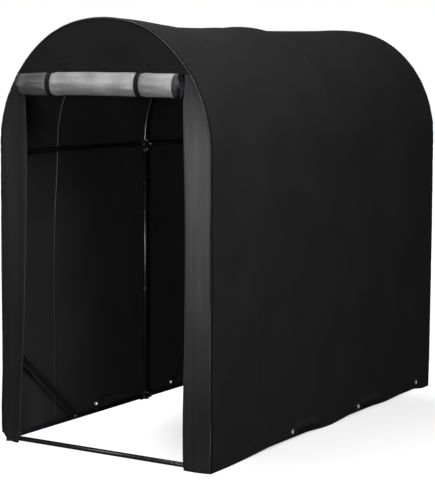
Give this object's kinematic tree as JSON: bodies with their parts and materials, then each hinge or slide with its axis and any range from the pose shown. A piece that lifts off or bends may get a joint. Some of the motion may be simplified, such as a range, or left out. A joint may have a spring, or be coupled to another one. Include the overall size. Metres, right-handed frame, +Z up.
{
  "type": "bike shelter",
  "caption": "Walk-up fabric bike shelter with an arched roof on a steel tube frame, its front door rolled up over the opening.",
  "frame": {"origin": "middle of the ground under the whole shelter, its rolled-up door included", "axes": "+X to the right seen from the front, +Y from the door to the rear, +Z up"},
  "size_m": [1.002, 2.07, 1.7155],
  "materials": {
    "steel_tube": "black powder coat, glossy",
    "moulded_socket": "black moulded plastic",
    "cover_fabric": "black coated polyester, satin",
    "door_lining": "silver-grey coated lining of the door",
    "webbing": "black woven webbing",
    "eyelet_metal": "pressed plated eyelet"
  },
  "bodies": {
    "root": {"front_arch": "steel_tube", "left_front_leg": "steel_tube", "right_front_leg": "steel_tube", "middle_arch": "steel_tube", "left_middle_leg": "steel_tube", "right_middle_leg": "steel_tube", "rear_arch": "steel_tube", "left_rear_leg": "steel_tube", "right_rear_leg": "steel_tube", "left_front_floor_rail": "steel_tube", "left_front_side_rail": "steel_tube", "left_front_brace": "steel_tube", "right_front_floor_rail": "steel_tube", "right_front_side_rail": "steel_tube", "right_front_brace": "steel_tube", "front_sill_bar": "steel_tube", "left_rear_floor_rail": "steel_tube", "left_rear_side_rail": "steel_tube", "left_rear_brace": "steel_tube", "right_rear_floor_rail": "steel_tube", "right_rear_side_rail": "steel_tube", "right_rear_brace": "steel_tube", "rear_sill_bar": "steel_tube", "front_corner_sockets": "moulded_socket", "middle_foot_sockets": "moulded_socket", "rear_corner_sockets": "moulded_socket", "front_shoulder_sockets": "moulded_socket", "middle_shoulder_crosses": "moulded_socket", "rear_shoulder_sockets": "moulded_socket", "front_fascia": "cover_fabric", "front_left_jamb": "cover_fabric", "front_right_jamb": "cover_fabric", "rear_wall": "cover_fabric", "roof_front_bay": "cover_fabric", "roof_rear_bay": "cover_fabric", "left_wall": "cover_fabric", "right_wall": "cover_fabric", "left_hem": "cover_fabric", "right_hem": "cover_fabric", "left_eyelets": "eyelet_metal", "right_eyelets": "eyelet_metal", "door_roll": "door_lining", "left_door_strap": "webbing", "right_door_strap": "webbing"}
  },
  "joints": []
}
